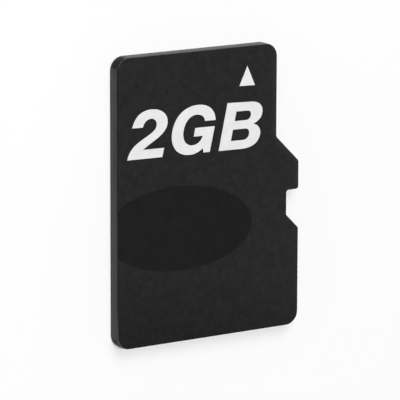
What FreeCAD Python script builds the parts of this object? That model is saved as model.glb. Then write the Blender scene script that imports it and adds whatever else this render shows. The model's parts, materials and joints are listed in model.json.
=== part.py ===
"""A miniature flash memory card, lying on its contact side with the label side up.

Millimetres. +Y points to the contact end (the tip, which enters a socket first), +X to the side with the
lock notch, +Z out of the label face. The origin is the middle of the card's footprint, on the surface that
it lies on.

The card is a moulded package. A laminate substrate carries the dies, the capacitors and the bond wires on its
inner face and the contacts on its outer face, and one block of mould compound is cast over all of it.
"""

import FreeCAD
import Part
import math
import os

Vector = FreeCAD.Vector

# Card outline, seen from the label side
card_width = 11.0
card_length = 15.0
card_thickness = 0.70
shoulder_step = 1.40
shoulder_foot_from_tip = 6.30
notch_wall_from_tip = 7.80
notch_floor_length = 1.30
notch_depth = 0.75
tip_corner_radius = 0.70
rear_corner_radius = 0.70
shoulder_radius = 0.25
notch_radius = 0.15
label_edge_radius = 0.06
contact_edge_radius = 0.04

# Substrate and its contacts
substrate_thickness = 0.16
contact_side_margin = 0.55
contact_gap = 0.30
contact_length = 2.90
contact_from_tip = 1.10
power_contact_lead = 0.30
contact_corner_radius = 0.12
contact_thickness = 0.035
contact_recess = 0.015
contact_window_gap = 0.03

# Dies and the adhesive films under them
die_margin = 0.60
die_gap = 1.50
die_film_thickness = 0.02
flash_die_thickness = 0.15
controller_die_length = 3.00
controller_die_width = 2.20
controller_die_thickness = 0.15
controller_from_tip = 1.30
controller_from_side = 1.40

# Chip capacitors beside the controller, soldered under their end caps
capacitor_count = 3
capacitor_length = 0.60
capacitor_width = 0.30
capacitor_cap_length = 0.15
capacitor_cap_step = 0.01
capacitor_pitch = 0.90
capacitor_from_tip = 1.50
capacitor_from_side = 1.10
solder_thickness = 0.02

# Bond wires, drawn square and as wide as the round wire
wire_diameter = 0.03
wire_foot_width = 0.06
wire_foot_height = 0.02
wire_loop_height = 0.10
wire_pad_inset = 0.12
wire_reach = 0.60
wire_stitch_length = 0.12
flash_wire_pitch = 0.60
controller_wire_pitch = 0.35

# Contact functions in order, the first beside the shoulder
CONTACT_ROLES = ["data_2", "data_3", "command", "supply", "clock", "ground", "data_0", "data_1"]
POWER_ROLES = ["supply", "ground"]

# Places worked out from the sizes above
left = -card_width / 2
right = card_width / 2
tip = card_length / 2
rear = -card_length / 2
nose_right = right - shoulder_step
notch_floor = right - notch_depth
inner_face = substrate_thickness
controller_rear = tip - controller_from_tip - controller_die_width
flash_bond_edge = controller_rear - die_gap


def rounded_loop(corners):
    """A closed wire through (x, y, radius) corners, each rounded by an arc tangent to both of its sides."""
    arcs = []
    for index, (x, y, radius) in enumerate(corners):
        corner = Vector(x, y, 0)
        before = Vector(*corners[index - 1][:2], 0) - corner
        after = Vector(*corners[(index + 1) % len(corners)][:2], 0) - corner
        half_angle = before.getAngle(after) / 2
        before.normalize()
        after.normalize()
        bisector = (before + after).normalize()
        setback = radius / math.tan(half_angle)
        sagitta = radius / math.sin(half_angle) - radius
        start = corner + before * setback
        arcs.append(Part.Arc(start, corner + bisector * sagitta, corner + after * setback))
    edges = []
    for index, arc in enumerate(arcs):
        edges.append(Part.LineSegment(arcs[index - 1].EndPoint, arc.StartPoint).toShape())
        edges.append(arc.toShape())
    return Part.Wire(edges)


def slab(wire, bottom, thickness):
    """The solid inside a flat wire, from the height `bottom` upwards."""
    solid = Part.Face(wire).extrude(Vector(0, 0, thickness))
    solid.translate(Vector(0, 0, bottom))
    return solid


def block(x0, x1, y0, y1, bottom, thickness):
    """A rectangular piece between two X and two Y places."""
    return Part.makeBox(x1 - x0, y1 - y0, thickness, Vector(x0, y0, bottom))


def round_rim(solid, height, radius):
    """Rounds every edge that lies in the horizontal plane at that height."""
    rim = [edge for edge in solid.Edges if all(abs(v.Z - height) < 1e-6 for v in edge.Vertexes)]
    return solid.makeFillet(radius, rim)


def card_outline():
    """Straight on the left, with a sloping shoulder and a ramped lock notch on the right."""
    notch_wall = tip - notch_wall_from_tip
    notch_foot = notch_wall - notch_floor_length
    shoulder_foot = tip - shoulder_foot_from_tip
    return rounded_loop([
        (left, rear, rear_corner_radius),
        (right, rear, rear_corner_radius),
        (right, notch_foot - notch_depth, notch_radius),
        (notch_floor, notch_foot, notch_radius),
        (notch_floor, notch_wall, notch_radius),
        (right, notch_wall, notch_radius),
        (right, shoulder_foot, shoulder_radius),
        (nose_right, shoulder_foot + shoulder_step, shoulder_radius),
        (nose_right, tip, tip_corner_radius),
        (left, tip, tip_corner_radius),
    ])


def contact_places():
    """Node name, left x, right x and tip-side y of each contact, in a row centred on the nose."""
    count = len(CONTACT_ROLES)
    row = nose_right - left - 2 * contact_side_margin
    width = (row - (count - 1) * contact_gap) / count
    places = []
    for index, role in enumerate(CONTACT_ROLES):
        x1 = nose_right - contact_side_margin - index * (width + contact_gap)
        lead = power_contact_lead if role in POWER_ROLES else 0.0
        places.append((f"contact_{index + 1}_{role}", x1 - width, x1, tip - contact_from_tip + lead))
    return places


def contact_slab(place, grow, bottom, thickness):
    """A contact's rounded rectangle, larger by `grow` on every side."""
    x0, x1 = place[1] - grow, place[2] + grow
    y0, y1 = tip - contact_from_tip - contact_length - grow, place[3] + grow
    radius = contact_corner_radius + grow
    corners = [(x0, y0, radius), (x1, y0, radius), (x1, y1, radius), (x0, y1, radius)]
    return slab(rounded_loop(corners), bottom, thickness)


def make_contacts():
    """The gold-plated contacts, a little below the outer face of the mask."""
    return {place[0]: contact_slab(place, 0, contact_recess, contact_thickness) for place in contact_places()}


def make_substrate():
    """The laminate board, with a window in its outer mask round each contact."""
    board = round_rim(slab(card_outline(), 0, substrate_thickness), 0, contact_edge_radius)
    depth = contact_recess + contact_thickness
    return board.cut([contact_slab(place, contact_window_gap, 0, depth) for place in contact_places()])


def flash_die_box():
    """Left, right, rear and bond edge of the flash die, which fills the card behind the controller."""
    return left + die_margin, min(nose_right, notch_floor) - die_margin, rear + die_margin, flash_bond_edge


def controller_die_box():
    """Left, right, rear and tip edge of the controller die."""
    x0 = left + controller_from_side
    return x0, x0 + controller_die_length, controller_rear, controller_rear + controller_die_width


def make_dies():
    """Each die on an adhesive film of its own."""
    dies = {
        "flash_die": (flash_die_box(), flash_die_thickness),
        "controller_die": (controller_die_box(), controller_die_thickness),
    }
    pieces = {}
    for name, (box, thickness) in dies.items():
        pieces[name + "_film"] = block(*box, inner_face, die_film_thickness)
        pieces[name] = block(*box, inner_face + die_film_thickness, thickness)
    return pieces


def make_capacitors():
    """A column of chip capacitors, each a ceramic body between two slightly larger end caps on solder."""
    x1 = nose_right - capacitor_from_side
    x0 = x1 - capacitor_length
    seat = inner_face + solder_thickness
    cap_sides = [(x0, x0 + capacitor_cap_length), (x1 - capacitor_cap_length, x1)]
    pieces = {}
    solder = []
    for index in range(capacitor_count):
        y1 = tip - capacitor_from_tip - index * capacitor_pitch
        y0 = y1 - capacitor_width
        waist_y = (y0 + capacitor_cap_step, y1 - capacitor_cap_step)
        waist = block(x0, x1, *waist_y, seat, capacitor_width - capacitor_cap_step)
        caps = [block(*side, y0, y1, seat, capacitor_width) for side in cap_sides]
        pieces[f"capacitor_{index + 1}"] = waist.fuse(caps).removeSplitter()
        solder += [block(*side, y0, y1, inner_face, solder_thickness) for side in cap_sides]
    pieces["capacitor_solder"] = Part.makeCompound(solder)
    return pieces


def bond_wire(edge_point, outward, die_top):
    """One wire from a pad inside a die's edge, up and over the edge, and down to its stitch on the substrate."""
    half = wire_diameter / 2
    foot = wire_foot_width / 2
    crown = die_top + wire_loop_height
    pad = -wire_pad_inset
    stitch_end = wire_reach + wire_stitch_length
    drop_angle = math.atan2(crown - inner_face - half, wire_reach - half)
    bend = half * math.tan(drop_angle / 2)
    profile = [
        (pad - foot, die_top),
        (pad + foot, die_top),
        (pad + foot, die_top + wire_foot_height),
        (pad + half, die_top + wire_foot_height),
        (pad + half, crown - half),
        (half - bend, crown - half),
        (wire_reach - bend, inner_face),
        (stitch_end, inner_face),
        (stitch_end, inner_face + wire_diameter),
        (wire_reach + bend, inner_face + wire_diameter),
        (half + bend, crown + half),
        (pad - half, crown + half),
        (pad - half, die_top + wire_foot_height),
        (pad - foot, die_top + wire_foot_height),
    ]
    sideways = Vector(-outward.y, outward.x, 0)
    start = edge_point - sideways * half
    points = [start + outward * reach + Vector(0, 0, height) for reach, height in profile]
    return Part.Face(Part.makePolygon(points + points[:1])).extrude(sideways * wire_diameter)


def spread(low, high, pitch):
    """Evenly pitched places, centred between two ends and at least a pad's inset from both."""
    count = int((high - low - 2 * wire_pad_inset) / pitch) + 1
    first = (low + high - (count - 1) * pitch) / 2
    return [first + index * pitch for index in range(count)]


def make_bond_wires():
    """The flash die is wired along its edge towards the tip, and the controller along its two sides."""
    seat = inner_face + die_film_thickness
    x0, x1, _, bond_edge = flash_die_box()
    flash = []
    for x in spread(x0, x1, flash_wire_pitch):
        flash.append(bond_wire(Vector(x, bond_edge, 0), Vector(0, 1, 0), seat + flash_die_thickness))
    x0, x1, y0, y1 = controller_die_box()
    controller = []
    for y in spread(y0, y1, controller_wire_pitch):
        for x, outward in ((x0, Vector(-1, 0, 0)), (x1, Vector(1, 0, 0))):
            controller.append(bond_wire(Vector(x, y, 0), outward, seat + controller_die_thickness))
    return {
        "flash_bond_wires": Part.makeCompound(flash),
        "controller_bond_wires": Part.makeCompound(controller),
    }


def make_moulded_body(embedded):
    """The mould compound over the substrate, cast round everything that stands on it."""
    cast = slab(card_outline(), inner_face, card_thickness - substrate_thickness)
    rounded = round_rim(cast, card_thickness, label_edge_radius)
    return rounded.cut([solid for piece in embedded for solid in piece.Solids])


def main():
    inside = {**make_dies(), **make_capacitors(), **make_bond_wires()}
    pieces = {"moulded_body": make_moulded_body(inside.values()), "substrate": make_substrate()}
    pieces.update(make_contacts())
    pieces.update(inside)
    os.makedirs("parts", exist_ok=True)
    for name, shape in pieces.items():
        shape.exportStep(f"parts/{name}.step")


main()
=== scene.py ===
"""The looks of a miniature memory card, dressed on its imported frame.

The frame is in metres. Sizes below are in millimetres, unless a comment says otherwise, and are scaled when a
mesh is made. The card lies with its label side up (+Z), its contact end towards +Y and its lock notch towards
+X. The camera looks down on the label side from the left, with the contact end at the top of the picture.
"""

import json
import math

import bmesh
import bpy
from mathutils import Matrix, Vector


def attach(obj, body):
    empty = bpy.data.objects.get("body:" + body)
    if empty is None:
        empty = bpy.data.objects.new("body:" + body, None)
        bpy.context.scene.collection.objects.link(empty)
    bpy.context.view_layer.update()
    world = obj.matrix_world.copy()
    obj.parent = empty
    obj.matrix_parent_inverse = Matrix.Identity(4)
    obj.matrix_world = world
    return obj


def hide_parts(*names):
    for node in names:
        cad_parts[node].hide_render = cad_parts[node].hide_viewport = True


MM = 0.001

# Outline of the cast body, as in the part's source
card_width = 11.0
card_length = 15.0
card_thickness = 0.70
seam_height = 0.16
shoulder_step = 1.40
shoulder_foot_from_tip = 6.30
notch_wall_from_tip = 7.80
notch_floor_length = 1.30
notch_depth = 0.75
tip_corner_radius = 0.70
rear_corner_radius = 0.70
shoulder_radius = 0.25
notch_radius = 0.15
label_edge_radius = 0.06
seam_chamfer = 0.008
corner_steps = 16
rim_steps = 8
crease_angle = math.radians(40)

# Print on the label face
white_ink_height = 0.012
dark_ink_height = 0.006
ink_sink = 0.004
ink_edge = 0.004
mitre_limit = 0.4
same_point = 1e-6
curve_steps = 14
italic_slant = 0.21
baseline = 2.22
mark_middle = -0.62
mark_shift = -0.05
mark_turn = math.radians(-0.73)
arrow_corners = [(1.78, 5.45), (2.73, 5.42), (2.26, 6.46)]
oval_centre = (-1.825, -1.56)
oval_half_axes = (4.41, 2.20)
oval_tilt = math.radians(-1.9)
oval_steps = 160

# Colours with a hue, in pairs from dark to light where a finish varies
plate_gold = [(0.71, 0.45, 0.13, 1.0), (0.82, 0.56, 0.19, 1.0)]
scuffed_gold = (0.88, 0.70, 0.38, 1.0)
wire_gold = [(0.72, 0.47, 0.15, 1.0), (0.88, 0.62, 0.25, 1.0)]
film_tan = [(0.22, 0.17, 0.08, 1.0), (0.34, 0.27, 0.14, 1.0)]
ceramic_brown = [(0.30, 0.20, 0.11, 1.0), (0.46, 0.33, 0.20, 1.0)]
cap_tin = (0.62, 0.62, 0.64, 1.0)

# Painted shade, painted light and highlights, and a pale seam band on the cast body: the places where each
# begins and where it is full
painted_rear_shade_y = (-3.8, -7.4)
painted_right_light_x = (1.0, 5.5)
painted_edge_highlight_width = (0.40, 0.06)
painted_edge_highlight_y = (-6.0, 2.0)
seam_band_z = (0.30, 0.23)
painted_left_rim_y = (-5.4, -6.8)
painted_corner_highlight_y = (0.0, -6.6)

# The range in which most values of a noise lie
noise_range = (0.3, 0.7)

# Floor: the radii of its rings, its clearance under the card, and how far it reaches under the card's edge
floor_radii = [40.0, 1500.0]
floor_clearance = 0.01
floor_lap = 0.15

# Softboxes that face the card: name, place and edge length in metres, and power in watts
lamps = [
    ("key", (-0.07, 0.065, 0.50), 0.12, 1.84),
    ("side", (-0.05, 0.38, 0.40), 0.30, 0.88),
    ("under", (-0.20, 0.15, -0.45), 1.20, 3.20),
]

# Camera, for a square picture
camera_place = (-90.911, 35.240, 141.622)
camera_aim = (-0.584, -0.220, 0.70)
camera_roll = math.radians(0.16)
camera_lens = 302.2
camera_sensor = 36.0
camera_nearest = 2.0
camera_farthest = 20000.0

# Places worked out from the sizes above
left = -card_width / 2
right = card_width / 2
tip = card_length / 2
rear = -card_length / 2
nose_right = right - shoulder_step
shoulder_foot = tip - shoulder_foot_from_tip
shoulder_top = shoulder_foot + shoulder_step

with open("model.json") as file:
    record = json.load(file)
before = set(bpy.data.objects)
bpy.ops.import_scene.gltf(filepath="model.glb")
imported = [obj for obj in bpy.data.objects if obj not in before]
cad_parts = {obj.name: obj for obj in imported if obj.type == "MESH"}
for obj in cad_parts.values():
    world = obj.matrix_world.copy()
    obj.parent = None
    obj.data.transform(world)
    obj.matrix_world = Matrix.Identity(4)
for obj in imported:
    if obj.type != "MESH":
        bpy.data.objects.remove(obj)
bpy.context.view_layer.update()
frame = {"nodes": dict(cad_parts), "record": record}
scene = bpy.context.scene
scene.view_settings.view_transform = "Standard"


def rounded_outline(corners):
    """Points of a closed loop through (x, y, radius) corners, each with its outward normal."""
    points = []
    for index, (x, y, radius) in enumerate(corners):
        corner = Vector((x, y))
        before = (Vector(corners[index - 1][:2]) - corner).normalized()
        after = (Vector(corners[(index + 1) % len(corners)][:2]) - corner).normalized()
        half_angle = before.angle(after) / 2
        centre = corner + (before + after).normalized() * radius / math.sin(half_angle)
        start = corner + before * radius / math.tan(half_angle) - centre
        turn = math.pi - 2 * half_angle
        hollow = before.x * after.y - before.y * after.x > 0
        for step in range(corner_steps + 1):
            angle = turn * step / corner_steps
            arm = Matrix.Rotation(-angle if hollow else angle, 2) @ start
            points.append((centre + arm, arm.normalized() * (-1 if hollow else 1)))
    return points


def card_outline():
    """Straight on the left, with a sloping shoulder and a ramped lock notch on the right."""
    notch_floor = right - notch_depth
    notch_wall = tip - notch_wall_from_tip
    notch_foot = notch_wall - notch_floor_length
    return rounded_outline([
        (left, rear, rear_corner_radius),
        (right, rear, rear_corner_radius),
        (right, notch_foot - notch_depth, notch_radius),
        (notch_floor, notch_foot, notch_radius),
        (notch_floor, notch_wall, notch_radius),
        (right, notch_wall, notch_radius),
        (right, shoulder_foot, shoulder_radius),
        (nose_right, shoulder_top, shoulder_radius),
        (nose_right, tip, tip_corner_radius),
        (left, tip, tip_corner_radius),
    ])


def inset_outline(outline, inset):
    """The points of an outline with normals, moved inwards."""
    return [point - normal * inset for point, normal in outline]


def make_ring(shape, spots, height):
    """A ring of vertices through spots in plan, at one height."""
    return [shape.verts.new((spot.x, spot.y, height)) for spot in spots]


def join_rings(shape, rings):
    """Quads between each ring of vertices and the next."""
    for lower, upper in zip(rings, rings[1:]):
        count = len(lower)
        for index in range(count):
            following = (index + 1) % count
            shape.faces.new((lower[index], lower[following], upper[following], upper[index]))


def ring_edges(shape, ring):
    """The edges along a ring of vertices."""
    return [shape.edges.get((ring[index - 1], ring[index])) for index in range(len(ring))]


def object_from(name, shape, material):
    """Turns a bmesh in millimetres into an object of the scene."""
    bmesh.ops.scale(shape, vec=(MM, MM, MM), verts=shape.verts)
    mesh = bpy.data.meshes.new(name)
    shape.to_mesh(mesh)
    shape.free()
    mesh.materials.append(material)
    made = bpy.data.objects.new(name, mesh)
    scene.collection.objects.link(made)
    return made


def finish_piece(name, shape, material):
    """Turns a closed bmesh in millimetres into a piece of the card."""
    bmesh.ops.recalc_face_normals(shape, faces=shape.faces)
    piece = object_from(name, shape, material)
    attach(piece, "root")
    return piece


def make_body(material):
    """The cast body, with its rounded label edge and the fine chamfer at the seam over the substrate."""
    profile = [(seam_chamfer, seam_height), (0.0, seam_height + seam_chamfer)]
    for step in range(rim_steps + 1):
        angle = math.pi / 2 * step / rim_steps
        inset = label_edge_radius * (1 - math.cos(angle))
        profile.append((inset, card_thickness - label_edge_radius * (1 - math.sin(angle))))
    outline = card_outline()
    shape = bmesh.new()
    rings = [make_ring(shape, inset_outline(outline, inset), height) for inset, height in profile]
    join_rings(shape, rings)
    shape.faces.new(rings[0])
    shape.faces.new(rings[-1])
    piece = finish_piece("card_body", shape, material)
    piece.data.shade_smooth()
    piece.data.set_sharp_from_angle(angle=crease_angle)
    piece.modifiers.new("even_normals", "WEIGHTED_NORMAL").keep_sharp = True
    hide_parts("moulded_body")


def curve_points(path):
    """Points of a closed path of (x, y) corners and (x1, y1, x2, y2, x, y) cubic curves."""
    points = [Vector(path[0])]
    for step in path[1:]:
        if len(step) == 2:
            points.append(Vector(step))
            continue
        start = points[-1]
        pull, ease, end = Vector(step[:2]), Vector(step[2:4]), Vector(step[4:])
        for count in range(1, curve_steps + 1):
            t = count / curve_steps
            s = 1 - t
            points.append(start * s**3 + pull * 3 * s * s * t + ease * 3 * s * t * t + end * t**3)
    if (points[-1] - points[0]).length < same_point:
        points.pop()
    return points


def inset_loop(points, amount):
    """A loop moved sideways: to its left by the amount, with mitred corners."""
    moved = []
    for index, point in enumerate(points):
        into = (point - points[index - 1]).normalized()
        out = (points[(index + 1) % len(points)] - point).normalized()
        across = (into + out).normalized()
        mitre = amount / max(across.dot(into), mitre_limit)
        moved.append(point + Vector((-across.y, across.x)) * mitre)
    return moved


def loop_area(points):
    """Twice the signed area of a loop, positive if it runs anticlockwise."""
    return sum(points[index - 1].cross(point) for index, point in enumerate(points))


def make_print(name, loops, height, material):
    """A thin film of ink on the label face: an outer loop, then the holes in it."""
    levels = [(0.0, -ink_sink), (0.0, height - ink_edge), (ink_edge, height)]
    shape = bmesh.new()
    bottom_edges = []
    top_edges = []
    for number, loop in enumerate(loops):
        # The outer loop runs anticlockwise and its holes clockwise
        anticlockwise = loop_area(loop) > 0
        if anticlockwise == (number > 0):
            loop = loop[::-1]
        rings = [make_ring(shape, inset_loop(loop, inset), card_thickness + lift) for inset, lift in levels]
        join_rings(shape, rings)
        bottom_edges += ring_edges(shape, rings[0])
        top_edges += ring_edges(shape, rings[-1])
    for edges in (bottom_edges, top_edges):
        bmesh.ops.triangle_fill(shape, use_beauty=True, use_dissolve=False, edges=edges, normal=(0, 0, 1))
    finish_piece(name, shape, material)


def slanted(path):
    """A letter's loop, leaned to the right, then turned with the mark about the middle of its baseline."""
    middle = Vector((mark_middle, baseline))
    turn = Matrix.Rotation(mark_turn, 2)
    loop = []
    for spot in curve_points(path):
        leaned = Vector((spot.x + italic_slant * (spot.y - baseline) + mark_shift, spot.y))
        loop.append(middle + turn @ (leaned - middle))
    return loop


# Upright outlines of the capacity mark: the outer loop of each letter, then its holes
digit_two = [[
    (-4.88, 2.23),
    (-2.80, 2.22),
    (-2.80, 2.69),
    (-4.05, 2.69),
    (-3.62, 3.08, -2.86, 3.33, -2.87, 3.88),
    (-2.87, 4.35, -3.36, 4.72, -3.98, 4.72),
    (-4.58, 4.72, -4.92, 4.42, -4.94, 3.84),
    (-4.31, 3.83),
    (-4.31, 4.08, -4.14, 4.24, -3.93, 4.24),
    (-3.67, 4.24, -3.51, 4.06, -3.51, 3.85),
    (-3.51, 3.62, -3.78, 3.46, -4.12, 3.26),
    (-4.55, 3.01, -4.87, 2.77, -4.88, 2.23),
]]
letter_g = [[
    (0.03, 3.85),
    (-0.11, 4.40, -0.58, 4.72, -1.20, 4.72),
    (-1.96, 4.73, -2.49, 4.29, -2.49, 3.50),
    (-2.49, 2.70, -1.92, 2.18, -1.15, 2.18),
    (-0.87, 2.18, -0.62, 2.28, -0.43, 2.46),
    (-0.34, 2.23),
    (0.04, 2.23),
    (0.05, 3.54),
    (-1.13, 3.54),
    (-1.12, 3.10),
    (-0.58, 3.10),
    (-0.62, 2.82, -0.82, 2.66, -1.10, 2.66),
    (-1.50, 2.66, -1.81, 3.00, -1.81, 3.48),
    (-1.81, 3.95, -1.56, 4.22, -1.18, 4.22),
    (-0.90, 4.22, -0.68, 4.07, -0.61, 3.85),
]]
letter_b = [
    [
        (0.58, 2.22),
        (1.98, 2.21),
        (2.60, 2.21, 2.97, 2.44, 2.97, 2.86),
        (2.97, 3.16, 2.74, 3.39, 2.41, 3.46),
        (2.69, 3.56, 2.85, 3.72, 2.85, 3.98),
        (2.84, 4.36, 2.53, 4.62, 1.99, 4.62),
        (0.57, 4.66),
    ],
    [
        (1.22, 4.18),
        (1.92, 4.17),
        (2.06, 4.17, 2.16, 4.06, 2.16, 3.93),
        (2.16, 3.79, 2.08, 3.69, 1.92, 3.69),
        (1.22, 3.69),
    ],
    [
        (1.22, 3.25),
        (1.96, 3.25),
        (2.16, 3.25, 2.27, 3.12, 2.27, 2.95),
        (2.27, 2.78, 2.16, 2.67, 1.96, 2.67),
        (1.22, 2.67),
    ],
]


def oval_loop():
    """The oval, cut off straight where it runs over the left edge of the label face."""
    edge = left + label_edge_radius
    across = oval_half_axes[0] * math.cos(oval_tilt)
    along = -oval_half_axes[1] * math.sin(oval_tilt)
    middle = math.atan2(along, across)
    half_sweep = math.acos((edge - oval_centre[0]) / math.hypot(across, along))
    turn = Matrix.Rotation(oval_tilt, 2)
    points = []
    for step in range(oval_steps + 1):
        angle = middle + half_sweep * (2 * step / oval_steps - 1)
        arm = Vector((oval_half_axes[0] * math.cos(angle), oval_half_axes[1] * math.sin(angle)))
        points.append(Vector(oval_centre) + turn @ arm)
    return points


def node(tree, kind, inputs=None, **options):
    """Adds a shader node with its options, and sets or links its inputs."""
    made = tree.nodes.new(kind)
    for name, value in options.items():
        setattr(made, name, value)
    for name, value in (inputs or {}).items():
        if isinstance(value, bpy.types.NodeSocket):
            tree.links.new(value, made.inputs[name])
        else:
            made.inputs[name].default_value = value
    return made


def new_material(name, **constants):
    """A material, its node tree and its shader, with the numbers that hold all over the surface."""
    material = bpy.data.materials.new(name)
    material.use_nodes = True
    shader = material.node_tree.nodes["Principled BSDF"]
    for socket, value in constants.items():
        shader.inputs[socket.replace("_", " ")].default_value = value
    return material, material.node_tree, shader


def place_of(tree, stretch=(1, 1, 1)):
    """Texture coordinates in millimetres, squeezed by a factor along each axis."""
    source = node(tree, "ShaderNodeTexCoord").outputs["Object"]
    scale = [factor / MM for factor in stretch]
    return node(tree, "ShaderNodeMapping", {"Vector": source, "Scale": scale}).outputs["Vector"]


def share_of(tree):
    """Texture coordinates that run from 0 to 1 across the piece's own box."""
    return node(tree, "ShaderNodeTexCoord").outputs["Generated"]


def axes_of(tree, vector):
    """The x, y and z of a vector."""
    return node(tree, "ShaderNodeSeparateXYZ", {0: vector}).outputs


def noise_of(tree, place, scale, detail=3.0, roughness=0.55):
    """A noise value with about `scale` blotches to the millimetre."""
    inputs = {"Vector": place, "Scale": scale, "Detail": detail, "Roughness": roughness}
    return node(tree, "ShaderNodeTexNoise", inputs).outputs["Fac"]


def remap(tree, value, low, high, to_low=0.0, to_high=1.0):
    """A value rescaled from one range to another, and kept inside the second."""
    inputs = {"Value": value, "From Min": low, "From Max": high, "To Min": to_low, "To Max": to_high}
    return node(tree, "ShaderNodeMapRange", inputs).outputs["Result"]


def spread_noise(tree, noise, low=0.0, high=1.0):
    """A noise value spread over a range."""
    return remap(tree, noise, *noise_range, low, high)


def blend_of(tree, factor, first, second):
    """A colour between two, by a factor."""
    return node(tree, "ShaderNodeMix", {0: factor, 6: first, 7: second}, data_type="RGBA").outputs[2]


def mix_of(tree, factor, first, second):
    """A value between two, by a factor."""
    return node(tree, "ShaderNodeMix", {0: factor, 2: first, 3: second}, data_type="FLOAT").outputs[0]


def maths(tree, operation, *values):
    """The result of an operation on one or two values."""
    return node(tree, "ShaderNodeMath", dict(enumerate(values)), operation=operation).outputs[0]


def times(tree, first, second):
    """The product of two values."""
    return maths(tree, "MULTIPLY", first, second)


def from_middle(tree, share):
    """How far a share from 0 to 1 is from one half."""
    return maths(tree, "ABSOLUTE", maths(tree, "SUBTRACT", share, 0.5))


def grey(level, warm=0.0):
    """A grey with a slight warm or cool cast."""
    return (level * (1 + warm), level, level * (1 - warm), 1.0)


def coat(tree, shader, colour, roughness):
    """Links a colour and a roughness to the shader."""
    tree.links.new(colour, shader.inputs["Base Color"])
    tree.links.new(roughness, shader.inputs["Roughness"])


def bump(tree, shader, height, depth):
    """Surface relief of that depth in millimetres."""
    relief = node(tree, "ShaderNodeBump", {"Height": height, "Distance": depth * MM, "Strength": 1.0})
    tree.links.new(relief.outputs["Normal"], shader.inputs["Normal"])


def upward(tree):
    """How far the surface faces up: 1 on the label face, 0 on the walls and -1 on the contact side."""
    return axes_of(tree, node(tree, "ShaderNodeNewGeometry").outputs["Normal"])["Z"]


def wall_share(tree, level):
    """1 on the walls and 0 on the flat faces, by how level the surface is."""
    return remap(tree, level, 0.75, 0.25)


def heading_of(tree):
    """The way the surface faces in plan: its parts to the right and to the tip, both 0 on a level face."""
    normal = node(tree, "ShaderNodeNewGeometry").outputs["Normal"]
    flat = node(tree, "ShaderNodeVectorMath", {0: normal, 1: (1, 1, 0)}, operation="MULTIPLY").outputs[0]
    heading = node(tree, "ShaderNodeVectorMath", {0: flat}, operation="NORMALIZE").outputs[0]
    across, ahead, _ = axes_of(tree, heading)
    return across, ahead


def side_share(tree, heading):
    """1 where a wall squarely faces along a heading, and 0 where it turns away."""
    return remap(tree, heading, 0.80, 0.95)


def corner_turn(tree, across, ahead):
    """How far a heading turns away from the straight sides: 0 on them and 1 on the corners and slopes."""
    return remap(tree, maths(tree, "ABSOLUTE", times(tree, across, ahead)), 0.12, 0.32)


def label_colour(tree, place):
    """Mottled black, with painted shade towards the rear, painted light to the right and a painted highlight
    along the right edge.
    """
    x, y, _ = axes_of(tree, place)
    mottle = remap(tree, noise_of(tree, place, scale=3.4, roughness=0.6), 0.28, 0.72)
    front_colour = blend_of(tree, mottle, grey(0.0117), grey(0.0205))
    shaded_rear_colour = blend_of(tree, mottle, grey(0.0081), grey(0.0144))
    slope = (0.15, 1, 0)
    drift = node(tree, "ShaderNodeVectorMath", {0: place, 1: slope}, operation="DOT_PRODUCT").outputs["Value"]
    # Painted shade darkens the face towards the rear
    painted_rear_shade = remap(tree, drift, *painted_rear_shade_y)
    # Painted light makes the face paler to the right
    painted_right_light = remap(tree, x, *painted_right_light_x, 0.0, 0.13)
    # A painted highlight pales a band along the right edge, most of all towards the tip
    edge = remap(tree, y, shoulder_foot, shoulder_top, right, nose_right)
    edge_band = remap(tree, maths(tree, "SUBTRACT", edge, x), *painted_edge_highlight_width)
    painted_edge_highlight = times(tree, edge_band, remap(tree, y, *painted_edge_highlight_y, 0.05, 0.33))
    colour = blend_of(tree, painted_rear_shade, front_colour, shaded_rear_colour)
    colour = blend_of(tree, painted_right_light, colour, grey(0.030))
    return blend_of(tree, painted_edge_highlight, colour, grey(0.045))


def wall_colour(tree, z, streaks, ahead, corner):
    """Streaked grey, palest at the seam, paler at the tip by painted light, and dark on the corners by
    painted shade.
    """
    sawn_colour = blend_of(tree, remap(tree, streaks, 0.32, 0.68), grey(0.025), grey(0.050))
    seam_band = remap(tree, z, *seam_band_z, 0.0, 0.95)
    side_colour = blend_of(tree, seam_band, sawn_colour, grey(0.064))
    # Painted light makes the wall paler where it faces the tip
    painted_tip_light = times(tree, side_share(tree, ahead), 0.3)
    side_colour = blend_of(tree, painted_tip_light, side_colour, grey(0.075))
    # Painted shade darkens the walls at the corners, most of all at the corners towards the tip
    painted_corner_shade = blend_of(tree, remap(tree, ahead, -0.2, 0.2), grey(0.013), grey(0.0075))
    return blend_of(tree, corner, side_colour, painted_corner_shade)


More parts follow.
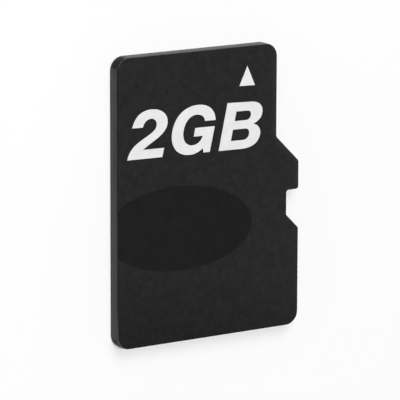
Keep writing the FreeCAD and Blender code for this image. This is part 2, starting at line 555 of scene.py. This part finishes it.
def cast_epoxy():
    """Matte black mould compound: mottled on the label face, with paler sawn sides and corners darkened by
    painted shade.
    """
    material, tree, shader = new_material("cast_epoxy", Specular_IOR_Level=0.12)
    place = place_of(tree)
    _, y, z = axes_of(tree, place)
    up = upward(tree)
    wall = wall_share(tree, up)
    rim = times(tree, remap(tree, up, 0.15, 0.45), remap(tree, up, 0.98, 0.85))
    across, ahead = heading_of(tree)
    corner = corner_turn(tree, across, ahead)
    grain = noise_of(tree, place, scale=13.0)
    streaks = noise_of(tree, place_of(tree, stretch=(0.3, 0.3, 9.0)), scale=1.0, roughness=0.65)
    sides = wall_colour(tree, z, streaks, ahead, corner)
    colour = blend_of(tree, wall, label_colour(tree, place), sides)
    # Painted shade makes the rounded rim dark along the left side, and a painted highlight makes it pale at
    # the rear end of that side
    left_side = side_share(tree, times(tree, across, -1.0))
    rim_colour = blend_of(tree, remap(tree, y, *painted_left_rim_y), grey(0.007), grey(0.065))
    colour = blend_of(tree, times(tree, rim, left_side), colour, rim_colour)
    # A painted highlight makes the rim pale in spots on its corners, most of all the rear ones, and on its
    # tip side
    painted_corner_highlight = times(tree, corner, remap(tree, y, *painted_corner_highlight_y, 0.5, 1.0))
    highlighted_places = maths(tree, "MAXIMUM", painted_corner_highlight, side_share(tree, ahead))
    painted_rim_highlight = times(tree, times(tree, rim, highlighted_places), remap(tree, grain, 0.35, 0.6, 0.4, 1.0))
    colour = blend_of(tree, painted_rim_highlight, colour, grey(0.10))
    face_rough = spread_noise(tree, grain, 0.54, 0.64)
    wall_rough = mix_of(tree, corner, 0.40, 0.58)
    coat(tree, shader, colour, mix_of(tree, wall, face_rough, wall_rough))
    bump(tree, shader, mix_of(tree, wall, grain, streaks), depth=0.004)
    return material


def solder_mask():
    """Black mask with a soft peel on the flat back, and the paler cut edge of the laminate on the walls."""
    material, tree, shader = new_material("solder_mask", Specular_IOR_Level=0.2)
    place = place_of(tree)
    wall = wall_share(tree, maths(tree, "ABSOLUTE", upward(tree)))
    peel = noise_of(tree, place, scale=5.0, detail=2.0)
    weave = noise_of(tree, place_of(tree, stretch=(0.5, 0.5, 22.0)), scale=1.0)
    face_colour = blend_of(tree, spread_noise(tree, peel), grey(0.010), grey(0.014))
    side_colour = blend_of(tree, remap(tree, weave, 0.32, 0.68), grey(0.021), grey(0.042))
    side_colour = blend_of(tree, corner_turn(tree, *heading_of(tree)), side_colour, grey(0.012))
    colour = blend_of(tree, wall, face_colour, side_colour)
    coat(tree, shader, colour, spread_noise(tree, peel, 0.36, 0.46))
    bump(tree, shader, peel, depth=0.004)
    return material


def ink(name, tones, rough_range):
    """Screen-printed ink, a little uneven in cover."""
    material, tree, shader = new_material(name, Specular_IOR_Level=0.12)
    place = place_of(tree)
    cover = noise_of(tree, place, scale=2.2, detail=4.0, roughness=0.6)
    speck = noise_of(tree, place, scale=16.0, detail=2.0)
    colour = blend_of(tree, spread_noise(tree, cover), *tones)
    coat(tree, shader, colour, spread_noise(tree, speck, *rough_range))
    bump(tree, shader, speck, depth=0.003)
    return material


def gold_plate():
    """Hard gold, a little blotched, with the scuffed track that a socket's spring wipes along its middle."""
    material, tree, shader = new_material("gold_plate", Metallic=1.0)
    scuff = noise_of(tree, place_of(tree, stretch=(28.0, 0.7, 1.0)), scale=1.0, roughness=0.7)
    blotch = noise_of(tree, place_of(tree), scale=2.2, detail=4.0, roughness=0.6)
    across, along, _ = axes_of(tree, share_of(tree))
    wiped = remap(tree, along, 0.28, 0.42)
    track = times(tree, wiped, remap(tree, from_middle(tree, across), 0.06, 0.17, 1.0, 0.0))
    marks = times(tree, track, remap(tree, scuff, 0.42, 0.62))
    plain_colour = blend_of(tree, spread_noise(tree, blotch), *plate_gold)
    plain_rough = spread_noise(tree, blotch, 0.24, 0.32)
    colour = blend_of(tree, marks, plain_colour, scuffed_gold)
    coat(tree, shader, colour, mix_of(tree, marks, plain_rough, 0.48))
    bump(tree, shader, mix_of(tree, track, blotch, scuff), depth=0.003)
    return material


def plain_detail(name, tones, scale, rough_range, metallic=0.0):
    """A finish for a piece cast inside the body: two tones of a fine blotch, with some relief."""
    material, tree, shader = new_material(name, Metallic=metallic)
    blotch = noise_of(tree, place_of(tree), scale)
    colour = blend_of(tree, spread_noise(tree, blotch), *tones)
    coat(tree, shader, colour, spread_noise(tree, blotch, *rough_range))
    bump(tree, shader, blotch, depth=0.002)
    return material


def chip_ceramic():
    """Brown ceramic between two tinned end caps, each a quarter of the length."""
    material, tree, shader = new_material("chip_ceramic")
    along = axes_of(tree, share_of(tree))["X"]
    cap = maths(tree, "GREATER_THAN", from_middle(tree, along), 0.25)
    speck = noise_of(tree, place_of(tree), scale=20.0)
    colour = blend_of(tree, cap, blend_of(tree, speck, *ceramic_brown), cap_tin)
    coat(tree, shader, colour, spread_noise(tree, speck, 0.35, 0.5))
    tree.links.new(cap, shader.inputs["Metallic"])
    bump(tree, shader, speck, depth=0.002)
    return material


def dress_nodes():
    """Gives each node of the frame its finish, apart from the one that the cast body stands for."""
    silicon_tones = [grey(0.22, -0.05), grey(0.34, -0.04)]
    solder_tones = [grey(0.50), grey(0.68)]
    finishes = {
        "laminate": solder_mask(),
        "contact_gold": gold_plate(),
        "silicon": plain_detail("silicon", silicon_tones, scale=0.6, rough_range=(0.16, 0.28), metallic=0.8),
        "die_film": plain_detail("die_film", film_tan, scale=6.0, rough_range=(0.54, 0.66)),
        "ceramic": chip_ceramic(),
        "solder": plain_detail("solder", solder_tones, scale=12.0, rough_range=(0.32, 0.44), metallic=1.0),
        "wire_gold": plain_detail("wire_gold", wire_gold, scale=9.0, rough_range=(0.24, 0.36), metallic=1.0),
    }
    for part in frame["record"]["subparts"]:
        if part["material_slot"] in finishes:
            frame["nodes"][part["node"]].data.materials[0] = finishes[part["material_slot"]]


def make_floor():
    """A wide round pale floor, open under the card so that its contact side can be seen from below."""
    opening = inset_outline(card_outline(), floor_lap)
    loops = [opening] + [[spot.normalized() * radius for spot in opening] for radius in floor_radii]
    shape = bmesh.new()
    rings = [make_ring(shape, loop, -floor_clearance) for loop in loops]
    join_rings(shape, rings[::-1])
    material, tree, shader = new_material("floor_paper", Roughness=0.9, Specular_IOR_Level=0.1)
    shade = noise_of(tree, place_of(tree), scale=0.05, detail=2.0)
    tree.links.new(blend_of(tree, shade, grey(0.96), grey(0.98)), shader.inputs["Base Color"])
    floor = object_from("floor", shape, material)


def make_light(name, place, size, power):
    """A square softbox that faces the origin."""
    lamp = bpy.data.lights.new(name, "AREA")
    lamp.shape = "SQUARE"
    lamp.size = size
    lamp.energy = power
    box = bpy.data.objects.new(name, lamp)
    box.location = place
    box.rotation_euler = (-Vector(place)).to_track_quat("-Z", "Y").to_euler()
    scene.collection.objects.link(box)


def make_world():
    """Soft light from all round, white at the horizon and dimmer overhead and underneath."""
    world = bpy.data.worlds.new("studio")
    world.use_nodes = True
    tree = world.node_tree
    direction = node(tree, "ShaderNodeTexCoord").outputs["Generated"]
    height = axes_of(tree, direction)["Z"]
    over = remap(tree, height, 0.08, 0.30, 1.0, 0.10)
    under = remap(tree, height, -0.10, -0.60, 1.0, 0.42)
    tree.links.new(times(tree, over, under), tree.nodes["Background"].inputs["Strength"])
    tree.nodes["Background"].inputs["Color"].default_value = (1, 1, 1, 1)
    scene.world = world


def make_camera():
    """The camera of the picture, rolled so that the contact end is at the top."""
    lens = bpy.data.cameras.new("camera")
    lens.lens = camera_lens
    lens.sensor_width = camera_sensor
    lens.clip_start = camera_nearest * MM
    lens.clip_end = camera_farthest * MM
    camera = bpy.data.objects.new("camera", lens)
    place = Vector(camera_place) * MM
    back = (place - Vector(camera_aim) * MM).normalized()
    side = Vector((0, 1, 0)).cross(back).normalized()
    turn = Matrix((side, back.cross(side), back)).transposed() @ Matrix.Rotation(camera_roll, 3, "Z")
    camera.matrix_world = Matrix.Translation(place) @ turn.to_4x4()
    scene.collection.objects.link(camera)
    scene.camera = camera


make_body(cast_epoxy())
white_ink = ink("white_ink", [grey(0.76), grey(0.84)], rough_range=(0.45, 0.55))
dark_ink = ink("dark_ink", [grey(0.0072), grey(0.0104)], rough_range=(0.53, 0.63))
letters = {"capacity_digit": digit_two, "capacity_letter_first": letter_g, "capacity_letter_last": letter_b}
for name, paths in letters.items():
    make_print(name, [slanted(path) for path in paths], white_ink_height, white_ink)
make_print("insert_arrow", [[Vector(corner) for corner in arrow_corners]], white_ink_height, white_ink)
make_print("dark_oval", [oval_loop()], dark_ink_height, dark_ink)
dress_nodes()
make_floor()
make_world()
for lamp in lamps:
    make_light(*lamp)
make_camera()
